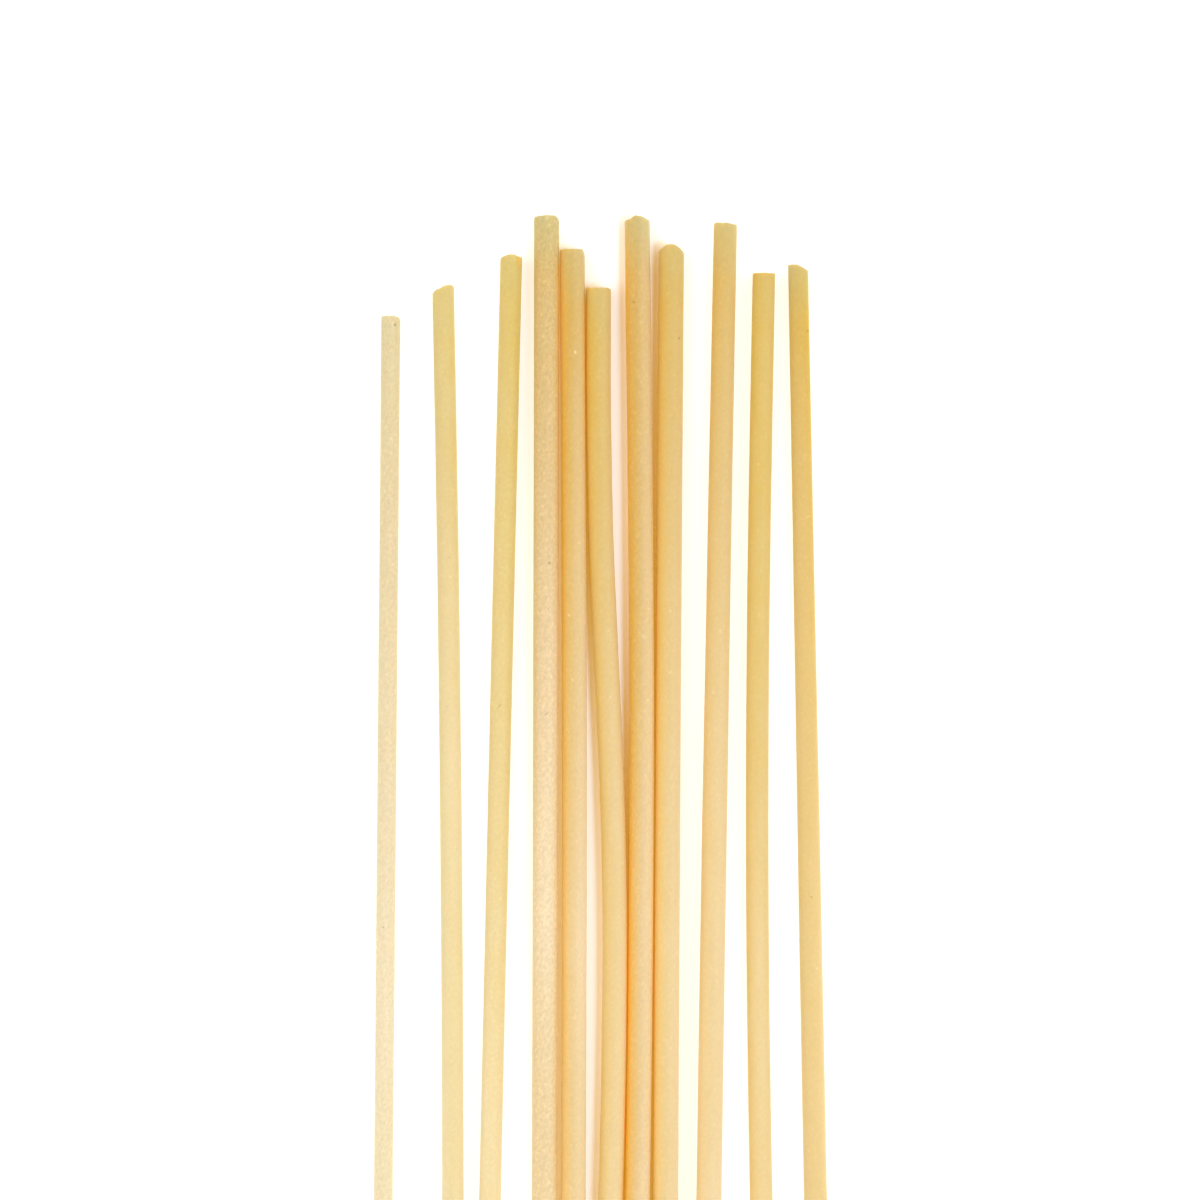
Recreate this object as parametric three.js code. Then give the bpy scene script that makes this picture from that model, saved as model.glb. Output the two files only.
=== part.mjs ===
import * as THREE from 'three';

// A loose bundle of dry bucatini: eleven straight-dried pasta tubes that lie side by
// side in one layer. Millimetres, +Z up. The strands run along Y and rest on z = 0,
// with their staggered cut ends at +Y, and the origin is under the bundle's middle.

// One strand.
const strandLength = 257;
const boreShare = 0.38; // bore diameter, as a share of the strand's diameter
const cutCurve = 1.6; // how steeply a cut falls back towards its edges
const narrowestSlope = 0.05; // of a cut, as a share of the strand's radius

// How finely a strand is faceted.
const outerSides = 12;
const boreSides = 8;
const lengthwiseSteps = 18;

// The thinner start of some strands fades out over this length.
const thinStretch = 95;

// Dry durum pasta, from golden to floury.
const goldenColour = new THREE.Color(0xe9bf78);
const flouryColour = new THREE.Color(0xf3deb4);
const pastaRoughness = 0.55;

// The strands from left to right, in millimetres.
//   across    where the middle of the upper end lies
//   setBack   how far the upper end stops short of the foremost strand's
//   lean      how far the lower end lies to the right of the upper one
//   bow       sideways bulge at half length
//   sway      sideways swing, to one side in the upper half and back in the lower
//   bends     gentle kinks: how far sideways, and the shares of the length between which
//   thinness  how much thinner the upper end is, as a share of the diameter
//   upperCut, lowerCut   a cut is flat between two places across, -1 left to 1 right, and
//             falls back from there by these lengths at its left and right edges
//   chip      a flake missing at the upper rim: share of the radius across, and depth
const strands = [
  {
    diameter: 2.2, across: -24.07, setBack: 11.5, lean: -2.2,
    upperCut: { flat: [-0.4, 0.35], fall: [0.1, 0.35] },
    lowerCut: { flat: [-0.2, 0.5], fall: [0.3, 0.1] },
  },
  {
    diameter: 2.5, across: -18.06, setBack: 7.95, lean: -0.8, bow: 1.5,
    upperCut: { flat: [0.3, 0.7], fall: [0.9, 0.12] },
    lowerCut: { flat: [-0.8, 0.0], fall: [0.1, 0.5] },
  },
  {
    diameter: 2.5, across: -10.2, setBack: 4.55, lean: -5.4, bow: -0.18,
    upperCut: { flat: [-0.5, 0.0], fall: [0.3, 0.2] },
    lowerCut: { flat: [-0.2, 0.3], fall: [0.2, 0.2] },
    chip: { across: 0.87, depth: 1.1 },
  },
  {
    diameter: 2.9, across: -6.14, setBack: 0.05, lean: -0.85, bow: 0.1,
    upperCut: { flat: [-0.37, 0.58], fall: [0.15, 0.45] },
    lowerCut: { flat: [-0.1, 0.6], fall: [0.5, 0.1] },
  },
  {
    diameter: 2.85, across: -3.19, setBack: 3.95, lean: 0, sway: 0.25,
    upperCut: { flat: [-1.0, 0.8], fall: [0.05, 0.65] },
    lowerCut: { flat: [-0.6, 0.2], fall: [0.1, 0.3] },
  },
  {
    diameter: 2.85, across: -0.16, setBack: 8.4, lean: 0,
    bends: [{ shift: 1.85, from: 0.055, to: 0.285 }, { shift: -1.6, from: 0.3, to: 0.6 }],
    upperCut: { flat: [-1.0, 0.7], fall: [0.05, 0.2] },
    lowerCut: { flat: [-0.2, 0.2], fall: [0.3, 0.4] },
  },
  {
    diameter: 2.9, across: 4.25, setBack: 0, lean: -0.4, sway: 0.63,
    upperCut: { flat: [0.0, 0.25], fall: [0.68, 0.42] },
    lowerCut: { flat: [-0.5, 0.5], fall: [0.2, 0.1] },
  },
  {
    diameter: 2.9, across: 8.21, setBack: 3.4, lean: -1.1, bow: -0.2,
    upperCut: { flat: [-0.2, 0.15], fall: [0.7, 0.9] },
    lowerCut: { flat: [0.0, 0.1], fall: [0.4, 0.6] },
  },
  {
    diameter: 2.9, across: 14.42, setBack: 0.9, lean: -3.34, bow: -0.445, thinness: 0.08,
    upperCut: { flat: [-1.0, 0.1], fall: [0.05, 0.2] },
    lowerCut: { flat: [0.0, 0.6], fall: [0.6, 0.1] },
  },
  {
    diameter: 2.6, across: 18.85, setBack: 6.7, lean: 0.3, sway: -0.85,
    upperCut: { flat: [-0.8, 0.8], fall: [0.05, 0.05] },
    lowerCut: { flat: [-0.4, 0.3], fall: [0.1, 0.2] },
  },
  {
    diameter: 2.65, across: 22.78, setBack: 5.7, lean: 4.78, thinness: 0.13,
    upperCut: { flat: [-1.0, 0.0], fall: [0.05, 0.6] },
    lowerCut: { flat: [-0.2, 0.5], fall: [0.3, 0.1] },
  },
];

// The centre line of one strand on the table; t runs from 0 at the upper end to 1.
class StrandLine extends THREE.Curve {
  constructor(strand) {
    super();
    this.strand = strand;
  }

  getPoint(t, target = new THREE.Vector3()) {
    const { diameter, across, setBack, lean, bow = 0, sway = 0, bends = [] } = this.strand;
    let x = across + lean * t + bow * 4 * t * (1 - t) + sway * Math.sin(2 * Math.PI * t);
    for (const { shift, from, to } of bends) {
      x += shift * THREE.MathUtils.smoothstep(t, from, to);
    }
    return target.set(x, -setBack - strandLength * t, diameter / 2);
  }
}

// Corners of a polygon whose sides touch a circle, with flats at the top and bottom.
function polygonAround(radius, sides) {
  const cornerRadius = radius / Math.cos(Math.PI / sides);
  return Array.from({ length: sides }, (_, i) => {
    const angle = (2 * Math.PI * (i + 0.5)) / sides;
    return new THREE.Vector2(cornerRadius * Math.cos(angle), cornerRadius * Math.sin(angle));
  });
}

function ringSection(diameter) {
  const section = new THREE.Shape(polygonAround(diameter / 2, outerSides));
  section.holes.push(new THREE.Path(polygonAround((boreShare * diameter) / 2, boreSides)));
  return section;
}

// How far a cut falls back at a place across the strand: not at all on its flat stretch,
// and from there to either edge with a power of the way.
function cutFall({ flat, fall }, place) {
  const { clamp } = THREE.MathUtils;
  const toLeft = clamp((flat[0] - place) / Math.max(flat[0] + 1, narrowestSlope), 0, 1);
  const toRight = clamp((place - flat[1]) / Math.max(1 - flat[1], narrowestSlope), 0, 1);
  return fall[0] * toLeft ** cutCurve + fall[1] * toRight ** cutCurve;
}

// Thins the strand towards its upper end, without lifting it, and shapes both cuts.
function shapeStrand(geometry, strand, line) {
  const { diameter, setBack, thinness = 0, upperCut, lowerCut, chip } = strand;
  const endZone = 0.2 / lengthwiseSteps;
  const position = geometry.attributes.position;
  const corner = new THREE.Vector3();
  const middle = new THREE.Vector3();
  for (let i = 0; i < position.count; i += 1) {
    corner.fromBufferAttribute(position, i);
    const t = (-setBack - corner.y) / strandLength;
    line.getPoint(THREE.MathUtils.clamp(t, 0, 1), middle);
    const place = (corner.x - middle.x) / (diameter / 2);
    const height = (corner.z - middle.z) / (diameter / 2);
    const thinHere = thinness * (1 - THREE.MathUtils.smoothstep(t * strandLength, 0, thinStretch));
    corner.x = middle.x + (corner.x - middle.x) * (1 - thinHere);
    corner.z *= 1 - thinHere;
    if (t < endZone) {
      corner.y -= cutFall(upperCut, place);
      const isChipped = chip && Math.abs(place - chip.across) < 0.2 && height > 0.2;
      corner.y -= isChipped ? chip.depth : 0;
    } else if (t > 1 - endZone) {
      corner.y += cutFall(lowerCut, place);
    }
    position.setXYZ(i, corner.x, corner.y, corner.z);
  }
  geometry.computeVertexNormals();
}

function makeStrand(strand, index) {
  const line = new StrandLine(strand);
  const geometry = new THREE.ExtrudeGeometry(ringSection(strand.diameter), {
    steps: lengthwiseSteps,
    extrudePath: line,
    bevelEnabled: false,
  });
  shapeStrand(geometry, strand, line);
  const material = new THREE.MeshStandardMaterial({
    color: goldenColour.clone().lerp(flouryColour, 1 - index / (strands.length - 1)),
    roughness: pastaRoughness,
    metalness: 0,
  });
  const mesh = new THREE.Mesh(geometry, material);
  mesh.name = `strand_${String(index + 1).padStart(2, '0')}`;
  return mesh;
}

const bundle = new THREE.Group();
strands.forEach((strand, index) => bundle.add(makeStrand(strand, index)));

// The origin goes under the middle of the bundle's box.
const box = new THREE.Box3().setFromObject(bundle, true);
bundle.position.set(-(box.min.x + box.max.x) / 2, -(box.min.y + box.max.y) / 2, -box.min.z);
bundle.updateMatrixWorld(true);

export default bundle;
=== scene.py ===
import bpy
import math
import numpy as np
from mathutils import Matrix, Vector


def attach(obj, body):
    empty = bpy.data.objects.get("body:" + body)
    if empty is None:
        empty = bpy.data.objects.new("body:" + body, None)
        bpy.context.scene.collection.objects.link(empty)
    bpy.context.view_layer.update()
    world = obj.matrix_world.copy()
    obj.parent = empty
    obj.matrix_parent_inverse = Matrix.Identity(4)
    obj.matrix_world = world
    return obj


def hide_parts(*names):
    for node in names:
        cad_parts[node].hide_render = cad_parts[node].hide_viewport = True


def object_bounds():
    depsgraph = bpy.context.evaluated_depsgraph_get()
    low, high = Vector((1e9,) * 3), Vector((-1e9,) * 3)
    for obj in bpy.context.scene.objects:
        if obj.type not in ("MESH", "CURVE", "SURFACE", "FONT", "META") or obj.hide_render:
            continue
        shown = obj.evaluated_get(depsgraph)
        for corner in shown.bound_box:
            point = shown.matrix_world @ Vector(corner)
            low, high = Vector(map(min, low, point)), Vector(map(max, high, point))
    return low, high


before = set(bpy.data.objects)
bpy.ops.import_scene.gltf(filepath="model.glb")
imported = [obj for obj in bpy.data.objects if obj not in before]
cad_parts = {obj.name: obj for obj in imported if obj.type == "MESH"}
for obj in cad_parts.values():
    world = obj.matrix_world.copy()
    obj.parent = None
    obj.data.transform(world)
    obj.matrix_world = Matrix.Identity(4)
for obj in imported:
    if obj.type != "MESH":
        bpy.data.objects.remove(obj)  # frame["nodes"] holds the eleven faceted strands
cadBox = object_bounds()

mm = 0.001  # lengths in the dictionaries are millimetres, and meshes are in metres
print("frame loaded:", len(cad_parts), "strands")

cameraView = {
    "frameWidth": 138.0,    # what the picture is wide and high
    "endsBelowTop": 24.7,   # from the picture's top edge to the foremost cut end
    "middleShift": -0.76,   # the picture's middle lies this far right of the bundle's
    "lens": 200.0,
    "sensor": 36.0,
    "clip": (0.01, 20.0),   # nearest and furthest seen, metres
}


def makeCamera(view):
    # distance = frame width x lens / sensor, straight over the middle of the picture
    low, high = cadBox
    data = bpy.data.cameras.new("camera")
    data.lens = view["lens"]
    data.sensor_width = view["sensor"]
    camera = bpy.data.objects.new("camera", data)
    bpy.context.scene.collection.objects.link(camera)
    distance = view["frameWidth"] * mm * view["lens"] / view["sensor"]
    pictureTop = high.y + view["endsBelowTop"] * mm
    camera.location = (
        (low.x + high.x) / 2 + view["middleShift"] * mm,
        pictureTop - view["frameWidth"] * mm / 2,
        high.z / 2 + distance,
    )
    data.clip_start, data.clip_end = view["clip"]
    bpy.context.scene.camera = camera


makeCamera(cameraView)
print("camera made")

# What differs from one strand to the next:
# upperCut, lowerCut   flat between these two places across (-1 left, 1 right), and how far the cut
#                      falls back from there to its left and right edges
# ragged               roughness of the cuts
# sand                 how grainy it is; endTint is how far the greyer tone shows at its cuts
# straw, biscuit       how far the golden tone leans to straw yellow and to dull peach
# flourAndPaintedLight how pale it gets away from its cuts, painted light as if lit more brightly there, with
# floury blooms; side is how much more so on the right, painted light from the window side
# leftFlankShade       painted shade on its left flank, the side away from the window, in honey colour; shade is how amber the light behind it turns
# chip                 a flake missing at the upper rim: where round the rim, its width, length and depth,
#                      and how fast and how far painted shade turns its hollow honey-coloured
# specks, flakes       dark bran and pale semolina: down from the upper end, across, length, width,
#                      slant in degrees, depth of tone
strandLooks = {
    "strand_01": {
        "upperCut": {"flat": (-0.4, 0.35), "fall": (0.1, 0.35)},
        "lowerCut": {"flat": (-0.2, 0.5), "fall": (0.3, 0.1)},
        "ragged": 0.13, "sand": 0.8, "endTint": 0.08,
        "straw": 0.98, "biscuit": 0.22, "flourAndPaintedLight": 0.22, "side": 0.01, "leftFlankShade": 0.04, "shade": 0.04,
        "specks": [(1.2, 0.5, 0.3, 0.3, 0, 0.6), (70.4, -0.2, 0.3, 0.22, 20, 0.4)],
        "flakes": [(18.0, 0.3, 0.4, 0.25, 40, 0.2), (52.0, -0.3, 0.5, 0.25, -30, 0.15)],
    },
    "strand_02": {
        "upperCut": {"flat": (0.3, 0.7), "fall": (0.9, 0.12), "curve": 1.1},
        "lowerCut": {"flat": (-0.8, 0.0), "fall": (0.1, 0.5)},
        "ragged": 0.20, "sand": 0.35, "endTint": 0.14,
        "straw": 0.42, "biscuit": 0.04, "flourAndPaintedLight": 0.29, "side": -0.04, "leftFlankShade": 0.02, "shade": 0.04,
        "specks": [(31.5, 0.2, 0.25, 0.18, 60, 0.25), (48.6, -0.3, 0.4, 0.2, 10, 0.15)],
        "flakes": [(33.7, 0.25, 0.5, 0.25, -30, 0.17), (58.0, -0.4, 0.4, 0.25, 40, 0.15)],
    },
    "strand_03": {
        "upperCut": {"flat": (-0.3, 0.3), "fall": (0.4, 0.3), "curve": 1.0},
        "lowerCut": {"flat": (-0.2, 0.3), "fall": (0.2, 0.2)},
        "ragged": 0.10, "sand": 0.45, "endTint": 0.15,
        "straw": 0.27, "biscuit": 0.00, "flourAndPaintedLight": 0.29, "side": -0.05, "leftFlankShade": 0.11, "shade": 0.04,
        "chip": {"angle": 42.0, "width": 0.34, "length": 1.5, "depth": 0.3, "paintedShadeShare": (2.5, 0.6)},
        "specks": [(52.0, -0.16, 0.85, 0.2, -50, 0.3)],
        "flakes": [(41.6, 0.1, 0.35, 0.3, 0, 0.15), (36.0, -0.1, 0.6, 0.2, 30, 0.15)],
    },
    "strand_04": {
        "upperCut": {"flat": (-0.37, 0.58), "fall": (0.15, 0.45)},
        "lowerCut": {"flat": (-0.1, 0.6), "fall": (0.5, 0.1)},
        "ragged": 0.12, "sand": 1.0, "endTint": 0.40,
        "straw": 0.41, "biscuit": 0.45, "flourAndPaintedLight": 0.33, "side": 0.01, "leftFlankShade": 0.19, "shade": 0.17,
        "specks": [(40.0, 0.28, 0.36, 0.32, 0, 0.6), (57.3, 0.1, 0.6, 0.25, -40, 0.35)],
        "flakes": [(43.8, -0.85, 0.4, 0.3, 0, 0.35), (42.8, 0.0, 0.4, 0.3, 60, 0.25),
                   (51.8, -0.3, 0.5, 0.3, 30, 0.2)],
    },
    "strand_05": {
        "upperCut": {"flat": (-1.0, 0.8), "fall": (0.05, 0.65)},
        "lowerCut": {"flat": (-0.6, 0.2), "fall": (0.1, 0.3)},
        "ragged": 0.05, "sand": 0.45, "endTint": 0.28,
        "straw": 0.12, "biscuit": 0.47, "flourAndPaintedLight": 0.31, "side": 0.12, "leftFlankShade": 0.65, "shade": 0.85,
        "specks": [],
        "flakes": [(11.9, 0.2, 0.45, 0.3, 70, 0.5), (33.8, 0.4, 0.35, 0.25, 0, 0.25),
                   (42.1, -0.4, 0.4, 0.3, 45, 0.3), (49.5, -0.15, 0.4, 0.25, 60, 0.3)],
    },
    "strand_06": {
        "upperCut": {"flat": (-1.0, 0.7), "fall": (0.05, 0.2)},
        "lowerCut": {"flat": (-0.2, 0.2), "fall": (0.3, 0.4)},
        "ragged": 0.04, "sand": 0.35, "endTint": 0.15,
        "straw": 0.19, "biscuit": 0.30, "flourAndPaintedLight": 0.26, "side": 0.06, "leftFlankShade": 0.51, "shade": 1.00,
        "specks": [],
        "flakes": [(39.4, 0.3, 0.5, 0.2, -40, 0.2), (47.0, 0.2, 0.6, 0.2, -45, 0.2)],
    },
    "strand_07": {
        "upperCut": {"flat": (-0.1, 0.2), "fall": (0.6, 0.45), "curve": 0.8},
        "lowerCut": {"flat": (-0.5, 0.5), "fall": (0.2, 0.1)},
        "ragged": 0.25, "sand": 0.55, "endTint": 0.42,
        "straw": 0.16, "biscuit": 0.53, "flourAndPaintedLight": 0.23, "side": 0.18, "leftFlankShade": 0.75, "shade": 1.00,
        "specks": [(10.1, -0.35, 0.5, 0.35, 0, 0.35)],
        "flakes": [(45.3, 0.6, 0.4, 0.3, 45, 0.25), (48.4, 0.1, 0.4, 0.3, 30, 0.2),
                   (55.8, 0.5, 0.35, 0.3, 0, 0.25)],
    },
    "strand_08": {
        "upperCut": {"flat": (-0.2, 0.15), "fall": (0.7, 0.9)},
        "lowerCut": {"flat": (0.0, 0.1), "fall": (0.4, 0.6)},
        "ragged": 0.10, "sand": 0.35, "endTint": 0.22,
        "straw": 0.18, "biscuit": 0.37, "flourAndPaintedLight": 0.30, "side": 0.03, "leftFlankShade": 0.62, "shade": 1.00,
        "specks": [(10.8, 0.65, 0.4, 0.35, 0, 0.45)],
        "flakes": [(42.2, 0.1, 0.3, 0.4, 0, 0.25), (49.2, 0.12, 0.4, 0.25, 0, 0.25)],
    },
    "strand_09": {
        "upperCut": {"flat": (-1.0, 0.1), "fall": (0.05, 0.2)},
        "lowerCut": {"flat": (0.0, 0.6), "fall": (0.6, 0.1)},
        "ragged": 0.14, "sand": 0.35, "endTint": 0.32,
        "straw": 0.22, "biscuit": 0.37, "flourAndPaintedLight": 0.32, "side": 0.02, "leftFlankShade": 0.49, "shade": 0.04,
        "specks": [],
        "flakes": [(47.0, 0.2, 0.6, 0.3, 60, 0.2), (54.0, -0.3, 0.5, 0.3, -50, 0.2)],
    },
    "strand_10": {
        "upperCut": {"flat": (-0.8, 0.8), "fall": (0.05, 0.05)},
        "lowerCut": {"flat": (-0.4, 0.3), "fall": (0.1, 0.2)},
        "ragged": 0.04, "sand": 0.3, "endTint": 0.10,
        "straw": 0.18, "biscuit": 0.18, "flourAndPaintedLight": 0.21, "side": 0.02, "leftFlankShade": 0.41, "shade": 0.04,
        "specks": [(34.0, 0.4, 0.25, 0.2, 0, 0.2)],
        "flakes": [(22.0, -0.2, 0.4, 0.3, 20, 0.15)],
    },
    "strand_11": {
        "upperCut": {"flat": (-1.0, -0.1), "fall": (0.05, 0.66), "curve": 1.0},
        "lowerCut": {"flat": (-0.2, 0.5), "fall": (0.3, 0.1)},
        "ragged": 0.07, "sand": 0.35, "endTint": 0.35,
        "straw": 0.00, "biscuit": 0.27, "flourAndPaintedLight": 0.24, "side": -0.04, "leftFlankShade": 0.12, "shade": 0.04,
        "specks": [(7.7, 0.85, 0.4, 0.3, 0, 0.6), (72.7, 0.1, 0.35, 0.25, 30, 0.45)],
        "flakes": [(80.9, 0.5, 0.35, 0.3, 0, 0.25), (29.0, 0.5, 0.7, 0.15, -15, 0.25)],
    },
}

strandShape = {
    "boreShare": 0.38,      # bore over outer diameter
    "columns": 48,          # faces round the strand
    "rimRows": (0.0, 0.04, 0.1, 0.18),   # rows at the rim, from the cut
    "rowStep": 0.36,        # length of a face along it
    "endZone": 10.0,        # within this of a cut
    "endRowStep": 0.15,     # the faces are this long
    "boreRowStep": 4.0,     # and this long inside the bore
    "faceRows": 5,          # rings on a cut face
    "sideSwell": 0.015,     # how far the sides swell, as the relief only cuts in
    "rimWear": 0.04,        # how far the rim is worn in, as a share of the radius
    "rimReach": 0.1,        # and how far down the strand that shows
    "cutBlend": 5.0,        # length over which a slanted cut fades into the strand
    "cutCurve": 1.6,        # how steeply a cut falls back towards its edges
    "jags": ((17, 3, 1.0), (40, 7, 0.5)),   # teeth of a cut: cells round it, cells across it, weight
    "ringGap": 4.0,         # corner rings of the faceted strand lie further apart than this
    "seed": 40,             # plus the strand's number
}

# relief layers: cells round the strand, cell length, depth as a share of the radius
reliefLayers = {
    "thickness": (2, 17.0, 0.010),
    "flats": (5, 9.0, 0.007),
    "dents": (11, 1.6, 0.006),
    "dieLines": (44, 60.0, 0.003),
    "grain": (44, 0.33, 0.008),
}

# where the tones lie on a strand
toneShape = {
    "paintedLightReach": 80.0,     # how far from a cut the strand is palest; this paleness is painted light, brighter away from the cuts
    "patchCells": ((5, 4.5, 0.6), (9, 1.3, 0.4)),   # cells round, cell length, weight
    "patchDepth": 0.08,     # how far the patches move the straw tone
    "bloomCells": (4, 24.0),                        # cells round, cell length
    "bloomDepth": 0.08,     # how far the long blooms move the peachy tone
    "bloomFlour": 0.3,      # and the flour
    "gapReach": 0.6,        # the painted shade from a neighbour fades with the gap to it
    "leftPaintedShade": 0.25,     # painted shade on the flank away from the window reaches far over the top
    "leftCurve": 0.8,
    "rightPaintedShade": 0.9,     # painted shade on the other flank stays close to the neighbour
    "rightCurve": 4.0,
    "endFade": 2.0,         # length over which a neighbour's painted shade sets in from its end
}


def smoothThrough(knots, values, at):
    # cubic through each knot with the slope of its neighbours (Hermite), for rising knots
    slopes = np.gradient(values, knots)
    i = np.clip(np.searchsorted(knots, at) - 1, 0, len(knots) - 2)
    width = knots[i + 1] - knots[i]
    t = np.clip((at - knots[i]) / width, 0.0, 1.0)
    return (
        (1 + 2 * t) * (1 - t) ** 2 * values[i]
        + t * (1 - t) ** 2 * width * slopes[i]
        + t * t * (3 - 2 * t) * values[i + 1]
        - t * t * (1 - t) * width * slopes[i + 1]
    )


def latticeNoise(draw, turns, cells, angle, share):
    # random numbers on a net of cells x turns that closes round the strand, read with smooth steps
    knots = draw.random((cells + 1, turns))
    a = (angle / (2 * math.pi) * turns)[None, :]
    c = (np.clip(share, 0.0, 1.0) * (cells - 1e-6))[:, None]
    a0, c0 = np.floor(a).astype(int), np.floor(c).astype(int)
    a1 = (a0 + 1) % turns
    u, v = a - a0, c - c0
    u, v = u * u * (3 - 2 * u), v * v * (3 - 2 * v)
    a0 = a0 % turns
    near = knots[c0, a0] * (1 - u) + knots[c0, a1] * u
    far = knots[c0 + 1, a0] * (1 - u) + knots[c0 + 1, a1] * u
    return near * (1 - v) + far * v


def centreLine(node, shape):
    # the faceted strand's corner rings give its middle and radius at rising distances from its upper end
    corners = np.empty(len(node.data.vertices) * 3, np.float32)
    node.data.vertices.foreach_get("co", corners)
    corners = corners.reshape(-1, 3).astype(float) / mm
    corners = corners[np.argsort(-corners[:, 1])]
    breaks = np.flatnonzero(-np.diff(corners[:, 1]) > shape["ringGap"]) + 1
    rings = np.split(corners, breaks)
    y = np.array([(r[:, 1].max() + r[:, 1].min()) / 2 for r in rings])
    y[0], y[-1] = rings[0][:, 1].max(), rings[-1][:, 1].min()
    x = np.array([(r[:, 0].max() + r[:, 0].min()) / 2 for r in rings])
    radius = np.array([r[:, 2].max() / 2 for r in rings])
    return {"down": y[0] - y, "top": y[0], "x": x, "radius": radius}


def cutFall(cut, place, shape):
    # 0 on the flat, then rising to the edge's fall with a power of the way from the flat to the edge
    curve = cut.get("curve", shape["cutCurve"])
    (left, right), (fallLeft, fallRight) = cut["flat"], cut["fall"]
    toLeft = np.clip((left - place) / max(left + 1, 0.05), 0, 1)
    toRight = np.clip((place - right) / max(1 - right, 0.05), 0, 1)
    return fallLeft * toLeft ** curve + fallRight * toRight ** curve


def gradedRows(length, shape):
    # distances from the upper end: close together near both cuts, wider apart between them
    step = shape["endRowStep"]
    near = np.concatenate([shape["rimRows"], np.arange(2 * step, shape["endZone"], step)])
    inner = length - 2 * shape["endZone"]
    middle = shape["endZone"] + np.linspace(0, inner, int(inner / shape["rowStep"]))
    return np.concatenate([near, middle, length - near[::-1]])


def strandProfile(length, shape):
    # a closed outline of the wall: down the outside, across the lower cut, up the bore, across the upper cut
    outside = gradedRows(length, shape)
    fromCut = np.minimum(outside, length - outside)
    outsideReach = 1 - shape["rimWear"] * np.exp(-fromCut / shape["rimReach"])
    bore = shape["boreShare"]
    face = np.linspace(1 - shape["rimWear"], bore, shape["faceRows"] + 2)[1:-1]
    inside = np.linspace(length, 0, int(length / shape["boreRowStep"]))
    down = np.concatenate([outside, np.full(len(face), length), inside, np.zeros(len(face))])
    reach = np.concatenate([outsideReach, face, np.full(len(inside), bore), face[::-1]])
    onCut = np.zeros(len(down))
    onCut[len(outside):len(outside) + len(face) + 1] = 1
    onCut[-len(face) - 1:] = 1
    inBore = np.zeros(len(down))
    inBore[len(outside) + len(face):-len(face)] = 1
    return down, reach, onCut, inBore


def neighbourPaintedShade(name, lines, down, angle, tone):
    # painted shade between strands = how far a point faces a neighbour, to a power, times exp(-gap / reach)
    # where one lies alongside
    names = sorted(lines)
    own = lines[name]
    x = smoothThrough(own["down"], own["x"], down)
    radius = smoothThrough(own["down"], own["radius"], down)
    paintedShadeShare = np.zeros((len(down), len(angle)))
    sides = ((-1, tone["leftPaintedShade"], tone["leftCurve"]), (1, tone["rightPaintedShade"], tone["rightCurve"]))
    for step, strength, curve in sides:
        k = names.index(name) + step
        if 0 <= k < len(names):
            other = lines[names[k]]
            there = other["top"] - (own["top"] - down)
            apart = np.abs(smoothThrough(other["down"], other["x"], there) - x)
            gap = apart - radius - smoothThrough(other["down"], other["radius"], there)
            inside = np.minimum(there, other["down"][-1] - there) / tone["endFade"]
            alongside = np.clip(inside, 0, 1) * np.exp(-np.maximum(gap, 0) / tone["gapReach"])
            facing = np.clip(step * np.cos(angle), 0, 1) ** curve
            paintedShadeShare += strength * alongside[:, None] * facing[None, :]
    return paintedShadeShare


def strandTones(name, lines, down, fromCut, angle, look, tone, draw):
    # shares of the straw, biscuit and flour colours and of the painted shade at every point
    length = lines[name]["down"][-1]
    share = down / length
    patches = np.zeros((len(down), len(angle)))
    for turns, cell, weight in tone["patchCells"]:
        patches += weight * (latticeNoise(draw, turns, int(length / cell), angle, share) * 2 - 1)
    turns, cell = tone["bloomCells"]
    bloom = latticeNoise(draw, turns, int(length / cell), angle, share) * 2 - 1
    place = np.cos(angle)[None, :]
    # paleness away from the cuts is painted light, as if lit more brightly there, and the blooms give floury
    # tone
    flourAndPaintedLight = look["flourAndPaintedLight"] * np.clip(fromCut / tone["paintedLightReach"], 0, 1)[:, None]
    # painted shade on the left flank, the side away from the window
    leftFlankShade = look["leftFlankShade"] * np.clip(-place, 0, 1) ** tone["leftCurve"]
    return {
        "straw": look["straw"] + tone["patchDepth"] * patches,
        "biscuit": look["biscuit"] + tone["bloomDepth"] * bloom,
        # the side term is painted light, which makes the right flank paler as if lit from the window
        "flourAndPaintedLight": flourAndPaintedLight * (1 + tone["bloomFlour"] * bloom) + look["side"] * place,
        "paintedShade": neighbourPaintedShade(name, lines, down, angle, tone) + leftFlankShade,
    }


def reliefField(look, down, angle, draw):
    # how far the wall is thinned, as a share of the radius: each layer's noise times its depth
    relief = np.zeros((len(down), len(angle)))
    for layer, (turns, cell, depth) in reliefLayers.items():
        strength = look["sand"] if layer == "grain" else 1.0
        cells = max(2, int(down.max() / cell))
        relief += depth * strength * latticeNoise(draw, turns, cells, angle, down / down.max())
    return relief


def chipField(chip, place, height, down):
    # a cone round one place on the rim, 1 at its middle, thinning out down the strand
    middle = math.radians(chip["angle"])
    away = np.hypot(place - math.cos(middle), height - math.sin(middle))
    return np.clip(1 - away / chip["width"], 0, 1) * np.clip(1 - down / chip["length"], 0, 1)[:, None]


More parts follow.
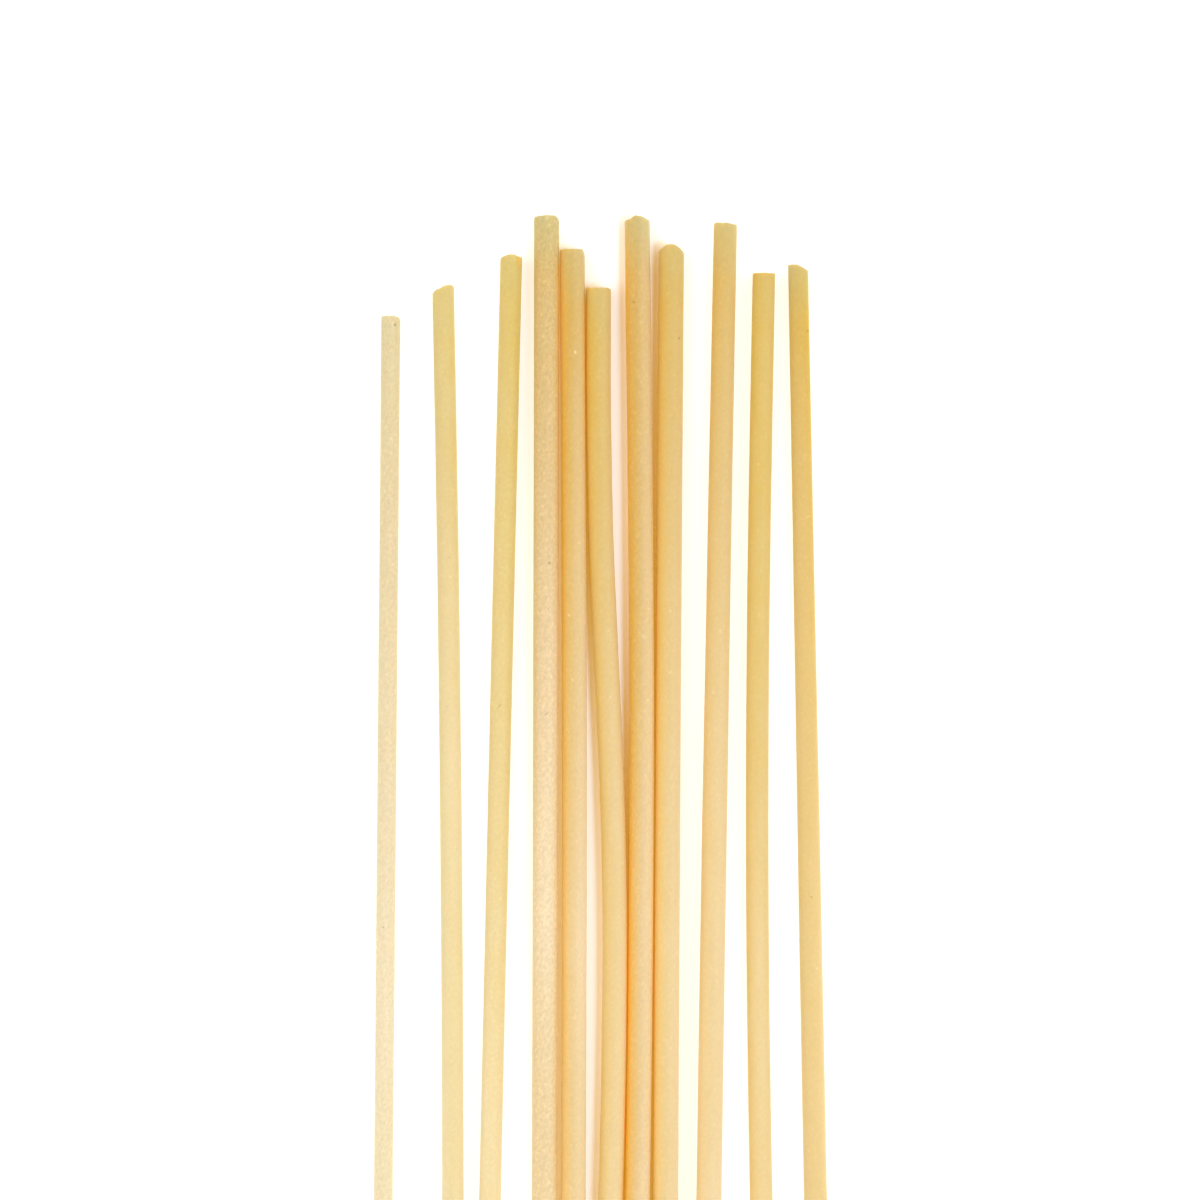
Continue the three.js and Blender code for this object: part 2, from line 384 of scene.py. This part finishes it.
def strandPoints(name, lines, look, shape, tone, draw):
    # point(angle, row) = middle(row) + radius x reach x (1 - relief) x (cos, 0, sin), with the sides
    # swelled a little, and slid along the strand at the cuts
    line = lines[name]
    length = line["down"][-1]
    down, reach, onCut, inBore = strandProfile(length, shape)
    fromCut = np.minimum(down, length - down)
    angle = np.linspace(0, 2 * math.pi, shape["columns"], endpoint=False)
    relief = reliefField(look, down, angle, draw)
    tones = strandTones(name, lines, down, fromCut, angle, look, tone, draw)
    place = np.cos(angle)[None, :] * reach[:, None]
    height = np.sin(angle)[None, :] * reach[:, None]
    if "chip" in look:
        chip = look["chip"]
        gouge = chipField(chip, place, height, down)
        relief += chip["depth"] * gouge
        # painted shade in the chip's hollow
        rise, most = chip["paintedShadeShare"]
        tones["paintedShade"] = np.maximum(tones["paintedShade"], np.minimum(rise * gouge, most))
    radius = smoothThrough(line["down"], line["radius"], down)[:, None]
    spread = radius * reach[:, None] * (1 - relief)
    jag = 0
    for turns, cells, weight in shape["jags"]:
        jag = jag + weight * latticeNoise(draw, turns, cells, angle, reach)
    nearUpper = np.clip(1 - down / shape["cutBlend"], 0, 1)[:, None]
    nearLower = np.clip(1 - (length - down) / shape["cutBlend"], 0, 1)[:, None]
    slide = nearUpper * (cutFall(look["upperCut"], place, shape) + look["ragged"] * jag)
    slide -= nearLower * (cutFall(look["lowerCut"], place, shape) + look["ragged"] * jag)
    y = down[:, None] + slide
    middle = smoothThrough(line["down"], line["x"], y)
    below, above = (smoothThrough(line["down"], line["x"], y + step) for step in (1, -1))
    heading = (below - above) / 2
    points = np.stack([
        middle + spread * (1 + shape["sideSwell"]) * np.cos(angle)[None, :],
        line["top"] - y + spread * np.cos(angle)[None, :] * heading,
        smoothThrough(line["down"], line["radius"], y) + spread * np.sin(angle)[None, :],
    ], axis=-1)
    marks = {"cutFace": onCut, "inBore": inBore, "fromCut": fromCut}
    marks = {label: np.repeat(values, len(angle)) for label, values in marks.items()}
    marks.update({label: np.clip(values, 0, 1).ravel() for label, values in tones.items()})
    return points, marks


def ringMesh(name, points, marks):
    # joins a rows x columns net into quads, closed both ways, with the faces turned outwards
    rows, columns = points.shape[:2]
    i, j = np.meshgrid(np.arange(rows), np.arange(columns), indexing="ij")
    nextRow, nextColumn = (i + 1) % rows, (j + 1) % columns
    quads = np.stack([
        i * columns + j, nextRow * columns + j, nextRow * columns + nextColumn, i * columns + nextColumn,
    ], axis=-1).reshape(-1, 4)
    co = points.reshape(-1, 3) * mm
    a, b, c, d = (co[quads[:, k]] for k in range(4))
    volume = (np.cross(b, c) * a).sum() + (np.cross(c, d) * a).sum()
    corner = np.stack([np.stack([j, i], -1), np.stack([j, i + 1], -1),
                       np.stack([j + 1, i + 1], -1), np.stack([j + 1, i], -1)], axis=2)
    uv = corner.reshape(-1, 4, 2) / np.array([columns, rows])
    if volume < 0:
        quads, uv = quads[:, ::-1], uv[:, ::-1]
    mesh = bpy.data.meshes.new(name)
    mesh.vertices.add(len(co))
    mesh.vertices.foreach_set("co", co.astype(np.float32).ravel())
    mesh.loops.add(quads.size)
    mesh.loops.foreach_set("vertex_index", np.ascontiguousarray(quads, np.int32).ravel())
    mesh.polygons.add(len(quads))
    mesh.polygons.foreach_set("loop_start", np.arange(0, quads.size, 4, dtype=np.int32))
    mesh.polygons.foreach_set("use_smooth", np.ones(len(quads), bool))
    mesh.update(calc_edges=True)
    layer = mesh.uv_layers.new(name="wrap")
    layer.data.foreach_set("uv", np.ascontiguousarray(uv, np.float32).ravel())
    for markName, values in marks.items():
        attribute = mesh.attributes.new(markName, "FLOAT", "POINT")
        attribute.data.foreach_set("value", values.astype(np.float32))
    mesh.validate()
    piece = bpy.data.objects.new(name, mesh)
    bpy.context.scene.collection.objects.link(piece)
    return piece


pastaFinish = {
    "golden": (0.52, 0.36, 0.045),      # dry durum pasta, from golden
    "straw": (0.58, 0.52, 0.32),        # to straw yellow,
    "biscuit": (0.47, 0.28, 0.11),      # dull peach
    "flourAndPaintedLight": (0.87, 0.80, 0.67),        # and floury white, also used for the painted paleness away from the cuts
    "paintedFlankTint": (1.22, 1.04, 0.60),    # painted light and shade, honey-warm, on a flank that faces a neighbour or lies away from the window
    "paintedDeepShade": (0.90, 0.40, 0.02),        # painted deep shade between two strands
    "paintedDeepShadeCurve": 4.0,
    "crumb": (0.70, 0.60, 0.37),        # on a cut face
    "crumbShare": 0.7,                  # how far it covers the strand's own tone there
    "paintedBoreShade": (0.34, 0.22, 0.07),       # painted shade inside the bore
    "paintedBoreShadeShare": 0.8,
    "end": (0.41, 0.44, 0.24),          # the greyer tone near a cut,
    "endReach": 7.0,                    # which reaches this far down
    "bran": (0.20, 0.12, 0.05),
    "flake": (0.82, 0.72, 0.46),
    "grainCell": 0.3,
    "grainTone": 0.09,                  # how far the grain moves the tone
    "grainFlakes": 0.18,                # and how pale its flakes are
    "grainSlant": 25,                   # degrees
    "grainDraw": (1.0, 0.62, 1.0),      # drawn out along the strand
    "grainBand": (0.3, 0.7),            # noise between these is the tone from dark to pale,
    "flakeBand": (0.64, 0.72),          # and between these the flakes begin
    "fleckEdge": (0.2, 0.65),           # a fleck is full within the first and gone at the second
    "fleckWaver": 0.12,
    "roughness": 0.62,
    "roughnessSwing": 0.12,
    "specular": 0.2,
    "bumpReach": 0.02 * mm,
    "bumpStrength": (0.3, 0.6),         # on every strand, and more by its grain
    "scatter": 0.6,                     # share of light that goes under the surface
    "scatterReach": (1.6, 1.1, 0.65),   # red travels furthest
    "scatterScale": 1.0 * mm,
    "lampTint": (0.77, 0.56, 0.00),     # what a wall lets through of the light from lamps and sky
}

# flecks that the draw adds where none is listed
strayFlecks = {
    "each": 3,                          # dark and pale ones on a strand
    "down": (104.0, 250.0),
    "across": (-0.95, 0.95),
    "size": (0.18, 0.4),
    "narrowing": (0.5, 1.0),            # width over length
    "slant": (-80, 80),
    "depth": (0.15, 0.4),
}


def newGroup(name, inputs, outputs):
    # a shader node group with these sockets, and its two end nodes
    group = bpy.data.node_groups.new(name, "ShaderNodeTree")
    for label, kind, value in inputs:
        socket = group.interface.new_socket(name=label, in_out="INPUT", socket_type=kind)
        if value is not None:
            socket.default_value = value
    for label, kind in outputs:
        group.interface.new_socket(name=label, in_out="OUTPUT", socket_type=kind)
    return group, group.nodes.new("NodeGroupInput"), group.nodes.new("NodeGroupOutput")


def setOrLink(tree, socket, value):
    # a socket is joined, a colour gets its alpha, and a number is set as it is
    if isinstance(value, bpy.types.NodeSocket):
        tree.links.new(value, socket)
    elif isinstance(value, tuple) and len(value) == 3 and socket.type == "RGBA":
        socket.default_value = (*value, 1.0)
    else:
        socket.default_value = value


def maths(tree, operation, *values):
    node = tree.nodes.new("ShaderNodeMath")
    node.operation = operation
    for k, value in enumerate(values):
        setOrLink(tree, node.inputs[k], value)
    return node.outputs[0]


def vectorMaths(tree, operation, *values):
    node = tree.nodes.new("ShaderNodeVectorMath")
    node.operation = operation
    for k, value in enumerate(values):
        setOrLink(tree, node.inputs[k], value)
    return node.outputs["Value"] if operation == "LENGTH" else node.outputs[0]


def mapRange(tree, value, fromMin, fromMax, toMin, toMax):
    node = tree.nodes.new("ShaderNodeMapRange")
    for k, v in enumerate((value, fromMin, fromMax, toMin, toMax)):
        setOrLink(tree, node.inputs[k], v)
    return node.outputs[0]


def mixColour(tree, factor, first, second, blend="MIX"):
    node = tree.nodes.new("ShaderNodeMix")
    node.data_type = "RGBA"
    node.blend_type = blend
    setOrLink(tree, node.inputs["Factor"], factor)
    setOrLink(tree, node.inputs[6], first)
    setOrLink(tree, node.inputs[7], second)
    return node.outputs[2]


def turned(tree, vector, degrees):
    # turned about the upright axis
    node = tree.nodes.new("ShaderNodeVectorRotate")
    node.rotation_type = "Z_AXIS"
    setOrLink(tree, node.inputs["Vector"], vector)
    if isinstance(degrees, bpy.types.NodeSocket):
        tree.links.new(maths(tree, "RADIANS", degrees), node.inputs["Angle"])
    else:
        node.inputs["Angle"].default_value = math.radians(degrees)
    return node.outputs[0]


def makeSandGroup(finish):
    # semolina grain from one slanting, drawn-out noise: its tone, its height, and a mask of its palest flakes
    group, given, out = newGroup(
        "semolina grain",
        [("Vector", "NodeSocketVector", None), ("Cell", "NodeSocketFloat", 0.3)],
        [("Tone", "NodeSocketFloat"), ("Height", "NodeSocketFloat"), ("Flakes", "NodeSocketFloat")],
    )
    slant = finish["grainSlant"]
    drawn = vectorMaths(group, "MULTIPLY", turned(group, given.outputs["Vector"], slant), finish["grainDraw"])
    node = group.nodes.new("ShaderNodeTexNoise")
    group.links.new(drawn, node.inputs["Vector"])
    group.links.new(maths(group, "DIVIDE", 1.0, given.outputs["Cell"]), node.inputs["Scale"])
    node.inputs["Detail"].default_value = 2.0
    node.inputs["Roughness"].default_value = 0.6
    grain = node.outputs["Fac"]
    group.links.new(mapRange(group, grain, *finish["grainBand"], -1.0, 1.0), out.inputs["Tone"])
    group.links.new(grain, out.inputs["Height"])
    group.links.new(mapRange(group, grain, *finish["flakeBand"], 0.0, 1.0), out.inputs["Flakes"])
    return group


def makeFleckGroup(finish):
    # one fleck: 1 inside a slanted oval with a wavering edge, 0 outside
    group, given, out = newGroup(
        "one fleck",
        [("Vector", "NodeSocketVector", None), ("Middle", "NodeSocketVector", None),
         ("Size", "NodeSocketVector", None), ("Slant", "NodeSocketFloat", 0.0),
         ("Waver", "NodeSocketFloat", 0.0)],
        [("Mask", "NodeSocketFloat")],
    )
    away = vectorMaths(group, "SUBTRACT", given.outputs["Vector"], given.outputs["Middle"])
    away = vectorMaths(group, "DIVIDE", turned(group, away, given.outputs["Slant"]), given.outputs["Size"])
    distance = maths(group, "ADD", vectorMaths(group, "LENGTH", away), given.outputs["Waver"])
    group.links.new(mapRange(group, distance, *finish["fleckEdge"], 1.0, 0.0), out.inputs["Mask"])
    return group


pastaGroups = {"sand": makeSandGroup(pastaFinish), "fleck": makeFleckGroup(pastaFinish)}


def useGroup(tree, name, **values):
    # places one of the groups with its own values
    node = tree.nodes.new("ShaderNodeGroup")
    node.node_tree = pastaGroups[name]
    for label, value in values.items():
        setOrLink(tree, node.inputs[label], value)
    return node


def markValue(tree, name):
    # what the mesh holds at each point under this name
    node = tree.nodes.new("ShaderNodeAttribute")
    node.attribute_name = name
    return node.outputs["Fac"]


def fleckPlace(line, down, across, up=1.0):
    # a point on the strand's surface, at this share of its radius across
    radius = float(smoothThrough(line["down"], line["radius"], np.array([down]))[0])
    middle = float(smoothThrough(line["down"], line["x"], np.array([down]))[0])
    rise = up * math.sqrt(1 - across * across)
    return (middle + across * radius, line["top"] - down, radius * (1 + rise))


def strayFleck(draw, stray):
    # down, across, length, width, slant, depth and which side it is on, up or down
    size = draw.uniform(*stray["size"])
    return (draw.uniform(*stray["down"]), draw.uniform(*stray["across"]), size,
            size * draw.uniform(*stray["narrowing"]), draw.uniform(*stray["slant"]),
            draw.uniform(*stray["depth"]), draw.choice([-1, 1]))


def pastaColour(tree, vector, sand, look, line, draw, finish):
    # the strand's tones mixed, then the painted light and shade in honey and amber, the greyer end, grain,
    # flecks, cut face and the painted shade in the bore
    colour = mixColour(tree, markValue(tree, "straw"), finish["golden"], finish["straw"])
    colour = mixColour(tree, markValue(tree, "biscuit"), colour, finish["biscuit"])
    colour = mixColour(tree, markValue(tree, "flourAndPaintedLight"), colour, finish["flourAndPaintedLight"])
    # painted light and shade: flanks that face a neighbour or lie away from the window turn honey, and deep
    # amber close to a neighbour
    paintedShade = markValue(tree, "paintedShade")
    colour = mixColour(tree, paintedShade, colour, finish["paintedFlankTint"], "MULTIPLY")
    colour = mixColour(tree, maths(tree, "POWER", paintedShade, finish["paintedDeepShadeCurve"]), colour, finish["paintedDeepShade"])
    nearEnd = mapRange(tree, markValue(tree, "fromCut"), 0.0, finish["endReach"], look["endTint"], 0.0)
    colour = mixColour(tree, nearEnd, colour, finish["end"])
    swing = finish["grainTone"] * look["sand"]
    tone = mapRange(tree, sand.outputs["Tone"], -1.0, 1.0, 1 - swing, 1 + swing)
    colour = mixColour(tree, 1.0, colour, tone, "MULTIPLY")
    flakes = maths(tree, "MULTIPLY", sand.outputs["Flakes"], finish["grainFlakes"] * look["sand"])
    colour = mixColour(tree, flakes, colour, finish["flake"])
    waver = maths(tree, "MULTIPLY", sand.outputs["Tone"], finish["fleckWaver"])
    for kind, shade in (("specks", finish["bran"]), ("flakes", finish["flake"])):
        stray = [strayFleck(draw, strayFlecks) for _ in range(strayFlecks["each"])]
        for down, across, long, wide, slant, depth, up in [(*fleck, 1) for fleck in look[kind]] + stray:
            middle = fleckPlace(line, down, across, up)
            fleck = useGroup(tree, "fleck", Vector=vector, Middle=middle, Size=(long, wide, long),
                             Slant=float(slant), Waver=waver)
            colour = mixColour(tree, maths(tree, "MULTIPLY", fleck.outputs["Mask"], depth), colour, shade)
    onCut = maths(tree, "MULTIPLY", markValue(tree, "cutFace"), finish["crumbShare"])
    colour = mixColour(tree, onCut, colour, finish["crumb"])
    # painted shade inside the bore
    inside = maths(tree, "MULTIPLY", markValue(tree, "inBore"), finish["paintedBoreShadeShare"])
    colour = mixColour(tree, inside, colour, finish["paintedBoreShade"])
    return colour


def makePasta(name, look, line, draw, finish):
    # pasta that scatters light under its surface, with the grain in its colour, gloss and bump
    material = bpy.data.materials.new(name)
    material.use_nodes = True
    tree = material.node_tree
    shader = tree.nodes["Principled BSDF"]
    place = tree.nodes.new("ShaderNodeTexCoord").outputs["Object"]
    vector = vectorMaths(tree, "MULTIPLY", place, (1 / mm, 1 / mm, 1 / mm))
    sand = useGroup(tree, "sand", Vector=vector, Cell=finish["grainCell"])
    colour = pastaColour(tree, vector, sand, look, line, draw, finish)
    tree.links.new(colour, shader.inputs["Base Color"])
    halfSwing = finish["roughnessSwing"] / 2
    rough = mapRange(tree, sand.outputs["Tone"], -1.0, 1.0, finish["roughness"] - halfSwing,
                     finish["roughness"] + halfSwing)
    tree.links.new(rough, shader.inputs["Roughness"])
    bump = tree.nodes.new("ShaderNodeBump")
    least, more = finish["bumpStrength"]
    bump.inputs["Strength"].default_value = least + more * look["sand"]
    bump.inputs["Distance"].default_value = finish["bumpReach"]
    tree.links.new(sand.outputs["Height"], bump.inputs["Height"])
    tree.links.new(bump.outputs["Normal"], shader.inputs["Normal"])
    shader.inputs["Specular IOR Level"].default_value = finish["specular"]
    shader.inputs["Subsurface Weight"].default_value = finish["scatter"]
    shader.inputs["Subsurface Radius"].default_value = finish["scatterReach"]
    shader.inputs["Subsurface Scale"].default_value = finish["scatterScale"]
    tint = tuple(1 - look["shade"] * (1 - channel) for channel in finish["lampTint"])
    letLampsThrough(tree, shader, tint)
    return material


def letLampsThrough(tree, shader, tint):
    # light on its way from a lamp or the sky passes the wall, tinted, so shadows and gaps glow amber
    clear = tree.nodes.new("ShaderNodeBsdfTransparent")
    wallTint = mixColour(tree, markValue(tree, "inBore"), tint, (1.0, 1.0, 1.0))
    tree.links.new(wallTint, clear.inputs["Color"])
    both = tree.nodes.new("ShaderNodeMixShader")
    tree.links.new(tree.nodes.new("ShaderNodeLightPath").outputs["Is Shadow Ray"], both.inputs[0])
    tree.links.new(shader.outputs[0], both.inputs[1])
    tree.links.new(clear.outputs[0], both.inputs[2])
    tree.links.new(both.outputs[0], tree.nodes["Material Output"].inputs["Surface"])


lines = {name: centreLine(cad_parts[name], strandShape) for name in strandLooks}
faceCount = 0
for number, name in enumerate(sorted(strandLooks), start=1):
    look = strandLooks[name]
    draw = np.random.default_rng(strandShape["seed"] + number)
    points, marks = strandPoints(name, lines, look, strandShape, toneShape, draw)
    piece = ringMesh("bucatino_" + name[-2:], points, marks)
    piece.data.materials.append(makePasta("dry pasta " + name[-2:], look, lines[name], draw, pastaFinish))
    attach(piece, "root")
    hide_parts(name)
    faceCount += len(piece.data.polygons)
print("strands made:", faceCount, "faces")

stageLook = {
    "floorWidth": 3.0,
    "floorColour": (0.96, 0.96, 0.96),
    "floorRoughness": 0.9,
    "floorSpecular": 0.2,
    "skyStrength": 1.36,
    "skyLean": (0.12, 0.38),  # where the light from the sides starts and is full, as the sine of its lean
    "skyLow": 0.12,          # what is left of it straight above, in front and behind
    "skySeen": 1.0,          # behind the floor, in the picture
    "window": {"place": (0.33, 0.0, 0.73), "width": 0.2, "watts": 2.97},
    "fill": {"place": (-0.57, 0.0, 0.57), "width": 0.3, "watts": 0.94},
}


def makeFloor(look):
    # a plain pale sheet at the height the strands rest on
    half = look["floorWidth"] / 2
    mesh = bpy.data.meshes.new("floor")
    corners = [(-half, -half, 0), (half, -half, 0), (half, half, 0), (-half, half, 0)]
    mesh.from_pydata(corners, [], [(0, 1, 2, 3)])
    floor = bpy.data.objects.new("floor", mesh)
    bpy.context.scene.collection.objects.link(floor)
    material = bpy.data.materials.new("plain floor")
    material.use_nodes = True
    shader = material.node_tree.nodes["Principled BSDF"]
    shader.inputs["Base Color"].default_value = (*look["floorColour"], 1.0)
    shader.inputs["Roughness"].default_value = look["floorRoughness"]
    shader.inputs["Specular IOR Level"].default_value = look["floorSpecular"]
    mesh.materials.append(material)


def makeLight(name, light, target):
    # a square soft light at its place, turned towards the target
    data = bpy.data.lights.new(name, "AREA")
    data.size = light["width"]
    data.energy = light["watts"]
    lamp = bpy.data.objects.new(name, data)
    lamp.location = light["place"]
    lamp.rotation_euler = (target - lamp.location).to_track_quat("-Z", "Y").to_euler()
    lamp.visible_camera = False
    bpy.context.scene.collection.objects.link(lamp)


def makeSky(look):
    # light from both sides: even where a direction leans far to the left or right, and falling to
    # skyLow of that where it doesn't; what is seen behind the floor is plain
    world = bpy.data.worlds.new("soft sky")
    world.use_nodes = True
    tree = world.node_tree
    apart = tree.nodes.new("ShaderNodeSeparateXYZ")
    tree.links.new(tree.nodes.new("ShaderNodeTexCoord").outputs["Generated"], apart.inputs[0])
    lean = maths(tree, "ABSOLUTE", apart.outputs["X"])
    strength = look["skyStrength"]
    light = mapRange(tree, lean, *look["skyLean"], strength * look["skyLow"], strength)
    seen = tree.nodes.new("ShaderNodeLightPath").outputs["Is Camera Ray"]
    background = tree.nodes["Background"]
    background.inputs["Color"].default_value = (1.0, 1.0, 1.0, 1.0)
    tree.links.new(mapRange(tree, seen, 0.0, 1.0, light, look["skySeen"]), background.inputs["Strength"])
    bpy.context.scene.world = world


makeFloor(stageLook)
for name in ("window", "fill"):
    makeLight(name, stageLook[name], (cadBox[0] + cadBox[1]) / 2)
makeSky(stageLook)
bpy.context.scene.view_settings.view_transform = "Standard"
bpy.context.scene.cycles.max_bounces = 8
print("floor and lights made")
